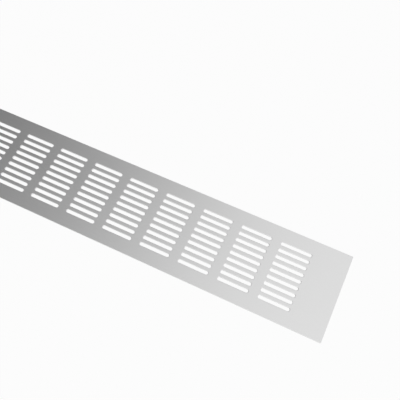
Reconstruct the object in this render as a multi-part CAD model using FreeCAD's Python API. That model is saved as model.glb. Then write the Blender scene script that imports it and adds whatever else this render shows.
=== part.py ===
"""Slotted ventilation panel: one flat strip of aluminium sheet with a grille of punched slots.

The grille is a row of identical groups along the strip. Each group is a stack of parallel
obround slots, struck in one hit by a cluster punch. The strip has solid lands at both ends
and along both long edges, by which it is fixed over a vent opening.

Units are millimetres. +X runs along the strip, +Y across it and +Z out of its face.
The origin is the centre of the back face, on the plane that the strip lies on.
"""

import FreeCAD, Part
from FreeCAD import Vector

import math
import os

# Sheet blank
panel_length = 800.0
panel_width = 100.0
sheet_thickness = 1.5
corner_radius = 0.8  # corners of the outline, linished after shearing
edge_break = 0.2  # chamfer that takes the burr off the outer edges, on both faces

# Punched slots
slot_length = 35.0  # overall, over the round ends
slot_width = 4.0
end_flats = 6  # flats that make up each round slot end, few because the slots are many
row_pitch = 8.0  # from slot to slot within a group
row_count = 9
group_count = 16
end_land = 40.0  # solid sheet between each end of the strip and the nearest slot

punch_overrun = 1.0  # how far the punch tools stand past both faces of the sheet


def sheet_blank():
    """The sheared strip with rounded corners and broken edges, back face on Z = 0."""
    corner = Vector(-panel_length / 2, -panel_width / 2, 0)
    blank = Part.makeBox(panel_length, panel_width, sheet_thickness, corner)
    upright = [edge for edge in blank.Edges if is_upright(edge)]
    blank = blank.makeFillet(corner_radius, upright)
    around = [edge for edge in blank.Edges if not is_upright(edge)]
    return blank.makeChamfer(edge_break, around)


def is_upright(edge):
    """True for an edge that crosses the thickness of the sheet."""
    return edge.BoundBox.ZLength > sheet_thickness / 2


def slot_outline():
    """Corners of one obround centred on the origin, anticlockwise from the lower right."""
    radius = slot_width / 2
    reach = slot_length / 2 - radius
    corners = []
    for side in (1, -1):
        for step in range(end_flats + 1):
            turn = math.pi * (step / end_flats - 0.5)
            corners.append(Vector(reach + radius * math.cos(turn), radius * math.sin(turn), 0) * side)
    return corners


def slot_punch():
    """One obround punch, long enough to pass right through the sheet."""
    corners = slot_outline()
    section = Part.Face(Part.makePolygon(corners + corners[:1]))
    section.translate(Vector(0, 0, -punch_overrun))
    return section.extrude(Vector(0, 0, sheet_thickness + 2 * punch_overrun))


def centred_steps(count, pitch):
    """Positions of count features, a pitch apart and centred on zero."""
    return [(index - (count - 1) / 2) * pitch for index in range(count)]


def cluster_punch():
    """The punches that strike one group of slots together."""
    punches = []
    for across in centred_steps(row_count, row_pitch):
        punch = slot_punch()
        punch.translate(Vector(0, across, 0))
        punches.append(punch)
    return Part.Compound(punches)


def group_pitch():
    """Distance between groups, so that the grille fills the strip from end land to end land."""
    grille_length = panel_length - 2 * end_land
    return (grille_length - slot_length) / (group_count - 1)


def slotted_panel():
    """The finished strip: the blank with every group of slots struck through it."""
    hits = []
    for along in centred_steps(group_count, group_pitch()):
        cluster = cluster_punch()
        cluster.translate(Vector(along, 0, 0))
        hits.extend(cluster.Solids)
    return sheet_blank().cut(Part.Compound(hits))


def main():
    """Writes the panel and prints its main figures."""
    os.makedirs("parts", exist_ok=True)
    panel = slotted_panel()
    solid = panel.Solids[0]
    solid.exportStep("parts/slotted_panel.step")
    box = solid.BoundBox
    print(f"slotted_panel {box.XLength:.2f} x {box.YLength:.2f} x {box.ZLength:.2f} mm")
    print(f"group pitch {group_pitch():.3f} mm, volume {solid.Volume:.1f} mm3")
    print(f"solids {len(panel.Solids)}, valid {solid.isValid()}, faces {len(solid.Faces)}")


main()
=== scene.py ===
"""Dressed model and studio for the slotted ventilation panel, in metres in the row frame.

One mesh stands for the solid. It keeps the solid's sizes and adds what shows close up: fully
round slot ends, the rollover that the punch leaves on the face side, the burnished and the
torn band of each cut wall, and rounded outer edges.
"""

import math

import bpy
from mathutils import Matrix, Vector


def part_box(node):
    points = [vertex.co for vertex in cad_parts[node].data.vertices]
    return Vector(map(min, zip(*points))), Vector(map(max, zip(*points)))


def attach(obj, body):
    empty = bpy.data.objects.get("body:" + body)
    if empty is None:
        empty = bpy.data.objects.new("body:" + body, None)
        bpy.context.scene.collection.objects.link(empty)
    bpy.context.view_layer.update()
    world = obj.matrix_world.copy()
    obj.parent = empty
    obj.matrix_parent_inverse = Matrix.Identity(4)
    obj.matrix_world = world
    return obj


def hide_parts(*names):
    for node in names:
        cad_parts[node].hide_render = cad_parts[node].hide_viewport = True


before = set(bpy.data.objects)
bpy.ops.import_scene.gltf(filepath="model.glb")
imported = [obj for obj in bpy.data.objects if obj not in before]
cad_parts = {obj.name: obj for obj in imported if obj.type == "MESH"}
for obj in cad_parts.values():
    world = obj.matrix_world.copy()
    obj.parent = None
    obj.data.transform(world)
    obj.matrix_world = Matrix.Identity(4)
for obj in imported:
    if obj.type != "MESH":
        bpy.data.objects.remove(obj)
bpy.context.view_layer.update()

NODE = "slotted_panel"
MM = 0.001

# Sizes of the solid: the sheet from its box, the rest as in the model's source
box_low, box_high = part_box(NODE)
panel_length, panel_width, sheet_thickness = box_high - box_low
centre_x, centre_y = (box_low.x + box_high.x) / 2, (box_low.y + box_high.y) / 2
corner_radius = 0.8 * MM
slot_length = 35.0 * MM
slot_width = 4.0 * MM
row_pitch = 8.0 * MM
row_count = 9
group_count = 16
end_land = 40.0 * MM
group_pitch = (panel_length - 2 * end_land - slot_length) / (group_count - 1)

# What the punch and the shear leave on the cut edges
end_segments = 16  # of each round slot end
corner_segments = 5
rollover_width = 0.45 * MM  # on the face, where the punch drew the metal down
rollover_depth = 0.18 * MM
rollover_steps = 4
burnished_height = 0.65  # share of the sheet's thickness, from the face, before it tears
tear_widening = 0.07 * MM  # by the back face
edge_rounding = 0.2 * MM
edge_steps = 3
tear_z = box_low.z + (1 - burnished_height) * sheet_thickness

FACE, CUT = 0, 1  # material slots of the panel

# Grain of the metal, in features per metre along each axis
ROLLING_GRAIN = (90, 5200, 5200)
ETCHED_GRAIN = (7500, 7500, 7500)
CLOUDS = (5, 22, 22)
TOOL_STREAKS = (6000, 6000, 250)
TORN_GRAIN = (9000, 9000, 9000)
NOISE_MIDDLE = (0.25, 0.75)  # where nearly all values of a noise lie

# Lowest and highest brightness and roughness that each grain gives
FACE_TONE, CLOUD_TONE = (0.77, 0.80), (0.985, 1.015)
FACE_ROUGHNESS, CLOUD_ROUGHNESS = (0.30, 0.34), (0.0, 0.03)
BURNISHED_TONE, TORN_TONE = (0.74, 0.79), (0.60, 0.72)
BURNISHED_ROUGHNESS, TORN_ROUGHNESS = (0.24, 0.32), (0.45, 0.60)
FACE_RELIEF = 0.002 * MM
CUT_RELIEF = 0.02 * MM
TEAR_BLEND = 0.05 * MM  # half the height over which the burnished band turns into the torn one


class Shell:
    """Collects faces, and merges the points that they share."""

    def __init__(self):
        self.index = {}
        self.faces = []
        self.slots = []
        self.normals = []

    def add(self, corners, slot):
        """One face. Each corner is a point and the surface's normal there."""
        face = []
        for point, normal in corners:
            key = tuple(round(value * 1e7) for value in point)
            face.append(self.index.setdefault(key, (len(self.index), tuple(point)))[0])
            self.normals.append(normal)
        self.faces.append(face)
        self.slots.append(slot)

    def mesh(self, name):
        """The finished mesh, shaded with the normals that were given."""
        mesh = bpy.data.meshes.new(name)
        mesh.from_pydata([point for _, point in self.index.values()], [], self.faces)
        mesh.polygons.foreach_set("material_index", self.slots)
        mesh.shade_smooth()
        mesh.normals_split_custom_set([Vector(normal).normalized() for normal in self.normals])
        return mesh


def centred_steps(count, pitch):
    """Positions of count features, a pitch apart and centred on zero."""
    return [(index - (count - 1) / 2) * pitch for index in range(count)]


def quarter_round(radius, steps):
    """Points of a rounded edge from the flat side down to the wall, as (across, down, lean).

    across and down start at the flat side, and lean is the normal's (sideways, upward) parts.
    """
    points = []
    for step in range(steps + 1):
        turn = math.pi / 2 * step / steps
        sideways, upward = math.sin(turn), math.cos(turn)
        points.append((radius * sideways, radius * (1 - upward), (sideways, upward)))
    return points


def die_roll(width, depth, steps):
    """The same for the rollover of a punched edge, which steepens evenly and ends in a crease."""
    points = []
    for step in range(steps + 1):
        share = step / steps
        points.append((width * share, depth * share**2, (2 * depth * share / width, 1)))
    return points


def slot_ring(x, y, offset):
    """A slot's outline, grown by offset, anticlockwise, as ((x, y), outward direction)."""
    radius = slot_width / 2
    reach = slot_length / 2 - radius
    ring = []
    for side in (1, -1):
        for step in range(end_segments + 1):
            turn = math.pi * (step / end_segments - 0.5)
            out = (side * math.cos(turn), side * math.sin(turn))
            point_x = x + side * reach + (radius + offset) * out[0]
            point_y = y + (radius + offset) * out[1]
            ring.append(((point_x, point_y), out))
    return ring


def corner_arc(side_x, side_y, inset):
    """One corner of the sheet's outline, anticlockwise, as ((x, y), outward direction)."""
    x = centre_x + side_x * (panel_length / 2 - corner_radius)
    y = centre_y + side_y * (panel_width / 2 - corner_radius)
    start = math.atan2(side_y, side_x) - math.pi / 4
    arc = []
    for step in range(corner_segments + 1):
        turn = start + math.pi / 2 * step / corner_segments
        out = (math.cos(turn), math.sin(turn))
        radius = corner_radius - inset
        arc.append(((x + radius * out[0], y + radius * out[1]), out))
    return arc


def sheet_ring(columns, rows, inset):
    """The sheet's outline, shrunk by inset, anticlockwise, with a point at each cell line."""
    half_x, half_y = panel_length / 2 - inset, panel_width / 2 - inset
    ring = [((x, centre_y - half_y), (0, -1)) for x in columns]
    ring += corner_arc(1, -1, inset)
    ring += [((centre_x + half_x, y), (1, 0)) for y in rows]
    ring += corner_arc(1, 1, inset)
    ring += [((x, centre_y + half_y), (0, 1)) for x in reversed(columns)]
    ring += corner_arc(-1, 1, inset)
    ring += [((centre_x - half_x, y), (-1, 0)) for y in reversed(rows)]
    ring += corner_arc(-1, -1, inset)
    return ring


def lifted(ring, z, lean, inward):
    """Ring points at height z. Their normals lean as given, inward or out of the sheet."""
    sign = -1 if inward else 1
    sideways, upward = lean
    return [
        ((x, y, z), (sign * out[0] * sideways, sign * out[1] * sideways, upward))
        for (x, y), out in ring
    ]


def add_band(shell, upper, lower, inward, slot):
    """A strip of faces between two rings, seen from inside a slot or from outside the sheet."""
    for index in range(len(upper)):
        quad = [upper[index - 1], lower[index - 1], lower[index], upper[index]]
        shell.add(quad[::-1] if inward else quad, slot)


def add_slot_wall(shell, x, y):
    """The cut wall of one slot, from the rollover on the face down to the torn back edge."""
    top, bottom = box_high.z, box_low.z
    rings = []
    for across, down, lean in die_roll(rollover_width, rollover_depth, rollover_steps):
        ring = slot_ring(x, y, rollover_width - across)
        rings.append(lifted(ring, top - down, lean, True))
    for upper, lower in zip(rings, rings[1:]):
        add_band(shell, upper, lower, True, FACE)
    wall = slot_ring(x, y, 0)
    upper = lifted(wall, top - rollover_depth, (1, 0), True)
    lower = lifted(wall, tear_z, (1, 0), True)
    add_band(shell, upper, lower, True, CUT)
    lean = (tear_z - bottom, -tear_widening)
    back = slot_ring(x, y, tear_widening)
    add_band(shell, lifted(wall, tear_z, lean, True), lifted(back, bottom, lean, True), True, CUT)


def add_outer_edge(shell, columns, rows):
    """The sheared edge round the sheet, rounded where it meets the face and the back."""
    rings = []
    for across, down, lean in quarter_round(edge_rounding, edge_steps):
        ring = sheet_ring(columns, rows, edge_rounding - across)
        rings.append((ring, down, lean))
    for (ring, down, lean), (next_ring, next_down, next_lean) in zip(rings, rings[1:]):
        upper = lifted(ring, box_high.z - down, lean, False)
        lower = lifted(next_ring, box_high.z - next_down, next_lean, False)
        add_band(shell, upper, lower, False, FACE)
        upper = lifted(next_ring, box_low.z + next_down, (next_lean[0], -next_lean[1]), False)
        lower = lifted(ring, box_low.z + down, (lean[0], -lean[1]), False)
        add_band(shell, upper, lower, False, FACE)
    wall = sheet_ring(columns, rows, 0)
    upper = lifted(wall, box_high.z - edge_rounding, (1, 0), False)
    lower = lifted(wall, box_low.z + edge_rounding, (1, 0), False)
    add_band(shell, upper, lower, False, CUT)


def slot_cell(x, y, left, right, near, far, offset):
    """The four faces between a slot's outline and the rectangle round it."""
    ring = [point for point, _ in slot_ring(x, y, offset)]
    half = len(ring) // 2
    right_end, left_end = ring[:half], ring[half:]
    return [
        [(left, near), (right, near), right_end[0], left_end[-1]],
        [(right, near), (right, far)] + right_end[::-1],
        [(right, far), (left, far), left_end[0], right_end[-1]],
        [(left, far), (left, near)] + left_end[::-1],
    ]


def side_cells(columns, rows, offset, inset):
    """Faces of one flat side of the sheet: a slot in every cell but those round the border."""
    half_x, half_y = panel_length / 2 - inset, panel_width / 2 - inset
    across = [centre_x - half_x] + columns + [centre_x + half_x]
    along = [centre_y - half_y] + rows + [centre_y + half_y]
    cells = []
    for i, (left, right) in enumerate(zip(across, across[1:])):
        for j, (near, far) in enumerate(zip(along, along[1:])):
            side_x = {0: -1, len(across) - 2: 1}.get(i, 0)
            side_y = {0: -1, len(along) - 2: 1}.get(j, 0)
            corners = [(left, near), (right, near), (right, far), (left, far)]
            if side_x and side_y:
                arc = [point for point, _ in corner_arc(side_x, side_y, inset)]
                sharp = (left if side_x < 0 else right, near if side_y < 0 else far)
                place = corners.index(sharp)
                cells.append(corners[:place] + arc + corners[place + 1 :])
            elif side_x or side_y:
                cells.append(corners)
            else:
                x, y = (left + right) / 2, (near + far) / 2
                cells.extend(slot_cell(x, y, left, right, near, far, offset))
    return cells


def panel_mesh():
    """The whole strip as one closed mesh."""
    shell = Shell()
    columns = [centre_x + x for x in centred_steps(group_count + 1, group_pitch)]
    rows = [centre_y + y for y in centred_steps(row_count + 1, row_pitch)]
    for cell in side_cells(columns, rows, rollover_width, edge_rounding):
        shell.add([((x, y, box_high.z), (0, 0, 1)) for x, y in cell], FACE)
    for cell in side_cells(columns, rows, tear_widening, edge_rounding):
        shell.add([((x, y, box_low.z), (0, 0, -1)) for x, y in reversed(cell)], FACE)
    for x in centred_steps(group_count, group_pitch):
        for y in centred_steps(row_count, row_pitch):
            add_slot_wall(shell, centre_x + x, centre_y + y)
    add_outer_edge(shell, columns, rows)
    return shell.mesh("slotted_strip")


def new_material(name):
    """A node material with its output and Principled shader."""
    material = bpy.data.materials.new(name)
    material.use_nodes = True
    nodes = material.node_tree.nodes
    return material, nodes, material.node_tree.links, nodes["Principled BSDF"]


def stretched_noise(nodes, links, scale, detail):
    """Noise in object space with its own scale along each axis, in features per metre."""
    place = nodes.new("ShaderNodeTexCoord")
    stretch = nodes.new("ShaderNodeMapping")
    stretch.inputs["Scale"].default_value = scale
    noise = nodes.new("ShaderNodeTexNoise")
    noise.inputs["Scale"].default_value = 1.0
    noise.inputs["Detail"].default_value = detail
    links.new(place.outputs["Object"], stretch.inputs["Vector"])
    links.new(stretch.outputs["Vector"], noise.inputs["Vector"])
    return noise.outputs["Fac"]


def mapped(nodes, links, value, source, target, smooth=False):
    """Maps a value from the source range to the target range, and holds it within that."""
    node = nodes.new("ShaderNodeMapRange")
    node.interpolation_type = "SMOOTHSTEP" if smooth else "LINEAR"
    node.inputs["From Min"].default_value, node.inputs["From Max"].default_value = source
    node.inputs["To Min"].default_value, node.inputs["To Max"].default_value = target
    links.new(value, node.inputs["Value"])
    return node.outputs["Result"]


def spread(nodes, links, noise, limits):
    """Maps the middle of a noise to the given limits."""
    return mapped(nodes, links, noise, NOISE_MIDDLE, limits)


def blended(nodes, links, share, first, second):
    """The first value where share is 0, and the second where it is 1."""
    node = nodes.new("ShaderNodeMix")
    links.new(share, node.inputs["Factor"])
    links.new(first, node.inputs["A"])
    links.new(second, node.inputs["B"])
    return node.outputs["Result"]


def axis_values(nodes, links, space):
    """The X, Y and Z sockets of that space's texture coordinates."""
    place = nodes.new("ShaderNodeTexCoord")
    axes = nodes.new("ShaderNodeSeparateXYZ")
    links.new(place.outputs[space], axes.inputs["Vector"])
    return axes.outputs


def combined(nodes, links, operation, first, second):
    """Two values joined by a Math node."""
    node = nodes.new("ShaderNodeMath")
    node.operation = operation
    for socket, value in zip(node.inputs, (first, second)):
        links.new(value, socket)
    return node.outputs["Value"]


def grey(nodes, links, value):
    """A neutral colour of the given level."""
    node = nodes.new("ShaderNodeCombineColor")
    for name in ("Red", "Green", "Blue"):
        links.new(value, node.inputs[name])
    return node.outputs["Color"]


def add_bump(nodes, links, shader, height, depth):
    """Bump of a real depth in metres."""
    bump = nodes.new("ShaderNodeBump")
    bump.inputs["Strength"].default_value = 1.0
    bump.inputs["Distance"].default_value = depth
    links.new(height, bump.inputs["Height"])
    links.new(bump.outputs["Normal"], shader.inputs["Normal"])


def anodised_face():
    """Satin anodised aluminium: rolling grain along the strip under a fine etched grain."""
    material, nodes, links, shader = new_material("satin_anodised_aluminium")
    grain = stretched_noise(nodes, links, ROLLING_GRAIN, detail=3.0)
    etch = stretched_noise(nodes, links, ETCHED_GRAIN, detail=2.0)
    cloud = stretched_noise(nodes, links, CLOUDS, detail=2.0)
    fine = spread(nodes, links, grain, FACE_TONE)
    broad = spread(nodes, links, cloud, CLOUD_TONE)
    tone = combined(nodes, links, "MULTIPLY", fine, broad)
    links.new(grey(nodes, links, tone), shader.inputs["Base Color"])
    fine = spread(nodes, links, grain, FACE_ROUGHNESS)
    broad = spread(nodes, links, cloud, CLOUD_ROUGHNESS)
    links.new(combined(nodes, links, "ADD", fine, broad), shader.inputs["Roughness"])
    add_bump(nodes, links, shader, combined(nodes, links, "ADD", grain, etch), FACE_RELIEF)
    shader.inputs["Metallic"].default_value = 1.0
    return material


def cut_wall():
    """The wall of a cut: burnished and streaked by the tool near the face, torn below."""
    material, nodes, links, shader = new_material("sheared_aluminium")
    streak = stretched_noise(nodes, links, TOOL_STREAKS, detail=2.0)
    tear = stretched_noise(nodes, links, TORN_GRAIN, detail=4.0)
    height = axis_values(nodes, links, "Object")["Z"]
    torn = mapped(nodes, links, height, (tear_z + TEAR_BLEND, tear_z - TEAR_BLEND), (0.0, 1.0))
    tone = blended(
        nodes,
        links,
        torn,
        spread(nodes, links, streak, BURNISHED_TONE),
        spread(nodes, links, tear, TORN_TONE),
    )
    links.new(grey(nodes, links, tone), shader.inputs["Base Color"])
    roughness = blended(
        nodes,
        links,
        torn,
        spread(nodes, links, streak, BURNISHED_ROUGHNESS),
        spread(nodes, links, tear, TORN_ROUGHNESS),
    )
    links.new(roughness, shader.inputs["Roughness"])
    add_bump(nodes, links, shader, blended(nodes, links, torn, streak, tear), CUT_RELIEF)
    shader.inputs["Metallic"].default_value = 1.0
    return material


def add_panel():
    """The dressed strip, which stands for the solid."""
    mesh = panel_mesh()
    mesh.materials.append(anodised_face())
    mesh.materials.append(cut_wall())
    panel = bpy.data.objects.new("slotted_strip", mesh)
    bpy.context.scene.collection.objects.link(panel)
    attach(panel, "root")
    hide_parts(NODE)


FLOOR_HALF = 20.0  # half the length of its sides
FLOOR_GAP = 0.05 * MM  # under the strip, so that the two don't coincide
FLOOR_COLOUR = (0.85, 0.85, 0.85, 1)
FLOOR_GLOW = 0.93  # share of the floor's look that is plain white; the rest takes light and shadow
WHITE = (1, 1, 1, 1)


def seen_directly(nodes, links):
    """1 for camera, glossy and transmission rays, which show the floor's own white."""
    path = nodes.new("ShaderNodeLightPath")
    camera, glossy = path.outputs["Is Camera Ray"], path.outputs["Is Glossy Ray"]
    total = combined(nodes, links, "ADD", camera, glossy)
    return combined(nodes, links, "ADD", total, path.outputs["Is Transmission Ray"])


def add_floor():
    """A plain white floor. It is nearly white of itself and keeps a soft shadow."""
    z = box_low.z - FLOOR_GAP
    mesh = bpy.data.meshes.new("floor")
    sides = [(-1, -1), (1, -1), (1, 1), (-1, 1)]
    mesh.from_pydata([(x * FLOOR_HALF, y * FLOOR_HALF, z) for x, y in sides], [], [(0, 1, 2, 3)])
    material = bpy.data.materials.new("white_floor")
    material.use_nodes = True
    nodes, links = material.node_tree.nodes, material.node_tree.links
    nodes.remove(nodes["Principled BSDF"])
    matt = nodes.new("ShaderNodeBsdfDiffuse")
    matt.inputs["Color"].default_value = FLOOR_COLOUR
    glow = nodes.new("ShaderNodeEmission")
    glow.inputs["Color"].default_value = WHITE
    share = nodes.new("ShaderNodeMath")
    share.operation = "MULTIPLY"
    share.inputs[1].default_value = FLOOR_GLOW
    links.new(seen_directly(nodes, links), share.inputs[0])
    mix = nodes.new("ShaderNodeMixShader")
    links.new(share.outputs["Value"], mix.inputs["Fac"])
    links.new(matt.outputs["BSDF"], mix.inputs[1])
    links.new(glow.outputs["Emission"], mix.inputs[2])
    links.new(mix.outputs["Shader"], nodes["Material Output"].inputs["Surface"])
    mesh.materials.append(material)
    floor = bpy.data.objects.new("floor", mesh)
    bpy.context.scene.collection.objects.link(floor)


# Brightness of the studio's white tent, against how far a direction points to its lit side.
# The tent is darker low down at the back, where the rims of the slots look.
LIT_SIDE = (1.0, -0.25, 0.0)
TENT = [
    (-1.0, 0.20),
    (-0.74, 0.13),
    (-0.58, 0.165),
    (-0.465, 0.305),
    (-0.34, 0.585),
    (-0.27, 0.80),
    (-0.20, 0.94),
    (-0.05, 1.0),
    (0.12, 1.0),
    (0.45, 0.78),
    (1.0, 0.62),
]
TENT_STRENGTH = 1.02
BACK_FADE, BACK_LEVEL = (0.55, 0.85), 0.65  # by a direction's Y
SURROUND_FADE = (0.22, 0.08)  # where the tent gives way to the white surround, by a direction's Z
SURROUND_WHITE = (0.975, 0.975, 0.975, 1)


def tent_level(nodes, links):
    """The tent's brightness in each direction."""
    place = nodes.new("ShaderNodeTexCoord")
    towards = nodes.new("ShaderNodeVectorMath")
    towards.operation = "DOT_PRODUCT"
    towards.inputs[1].default_value = LIT_SIDE
    links.new(place.outputs["Generated"], towards.inputs[0])
    ramp = nodes.new("ShaderNodeValToRGB")
    stops = ramp.color_ramp.elements
    while len(stops) < len(TENT):
        stops.new(0.5)
    for stop, (turn, value) in zip(stops, TENT):
        stop.position = (turn + 1) / 2
        stop.color = (value, value, value, 1)
    along = mapped(nodes, links, towards.outputs["Value"], (-1.0, 1.0), (0.0, 1.0))
    links.new(along, ramp.inputs["Fac"])
    back = axis_values(nodes, links, "Generated")["Y"]
    back = mapped(nodes, links, back, BACK_FADE, (1.0, BACK_LEVEL), smooth=True)
    return combined(nodes, links, "MULTIPLY", ramp.outputs["Color"], back)


def white_surround(nodes, links):
    """1 where a ray shows the plain white surround: any camera ray, and low mirrored ones."""
    height = axis_values(nodes, links, "Generated")["Z"]
    low = mapped(nodes, links, height, SURROUND_FADE, (0.0, 1.0), smooth=True)
    path = nodes.new("ShaderNodeLightPath")
    glossy, through = path.outputs["Is Glossy Ray"], path.outputs["Is Transmission Ray"]
    mirrored = combined(nodes, links, "ADD", glossy, through)
    mirrored = combined(nodes, links, "MULTIPLY", mirrored, low)
    return combined(nodes, links, "ADD", path.outputs["Is Camera Ray"], mirrored)


def add_tent():
    """World light: a soft white tent, lit from one side, over a plain white surround."""
    world = bpy.data.worlds.new("studio_tent")
    bpy.context.scene.world = world
    world.use_nodes = True
    nodes, links = world.node_tree.nodes, world.node_tree.links
    sky = nodes["Background"]
    links.new(grey(nodes, links, tent_level(nodes, links)), sky.inputs["Color"])
    sky.inputs["Strength"].default_value = TENT_STRENGTH
    white = nodes.new("ShaderNodeBackground")
    white.inputs["Color"].default_value = SURROUND_WHITE
    mix = nodes.new("ShaderNodeMixShader")
    links.new(white_surround(nodes, links), mix.inputs["Fac"])
    links.new(sky.outputs["Background"], mix.inputs[1])
    links.new(white.outputs["Background"], mix.inputs[2])
    links.new(mix.outputs["Shader"], nodes["World Output"].inputs["Surface"])


SOFTBOX_SIZE = (1.6, 1.2)
SOFTBOX_WATTS = 5.4  # about as bright as the tent behind it
SOFTBOX_EYE, SOFTBOX_AIM = (1.3, -1.2, 1.5), (0.2, 0.0, 0.0)

CAMERA_EYE, CAMERA_AIM = (0.3468, -0.2054, 0.5765), (0.2243, 0.0422, 0.0)
CAMERA_LENS = 51.73  # on a sensor 36 wide, in millimetres as Blender takes them
CAMERA_SENSOR = 36.0
CAMERA_ROLL = math.radians(-1.14)


def aimed(obj, eye, target):
    """Puts a camera or lamp at eye, level, looking at target."""
    obj.location = eye
    obj.rotation_euler = (Vector(target) - Vector(eye)).to_track_quat("-Z", "Y").to_euler()
    bpy.context.scene.collection.objects.link(obj)


def add_softbox():
    """One large soft lamp on the near right, which gives the floor its soft shadow."""
    light = bpy.data.lights.new("softbox", "AREA")
    light.shape = "RECTANGLE"
    light.size, light.size_y = SOFTBOX_SIZE
    light.energy = SOFTBOX_WATTS
    aimed(bpy.data.objects.new("softbox", light), SOFTBOX_EYE, SOFTBOX_AIM)


def add_camera():
    """A camera high over the right-hand half, which looks down at the strip."""
    lens = bpy.data.cameras.new("camera")
    lens.lens = CAMERA_LENS
    lens.sensor_width = CAMERA_SENSOR
    camera = bpy.data.objects.new("camera", lens)
    aimed(camera, CAMERA_EYE, CAMERA_AIM)
    camera.rotation_euler.rotate_axis("Z", CAMERA_ROLL)
    bpy.context.scene.camera = camera


add_camera()
add_panel()
add_floor()
add_tent()
add_softbox()
bpy.context.scene.view_settings.view_transform = "Standard"
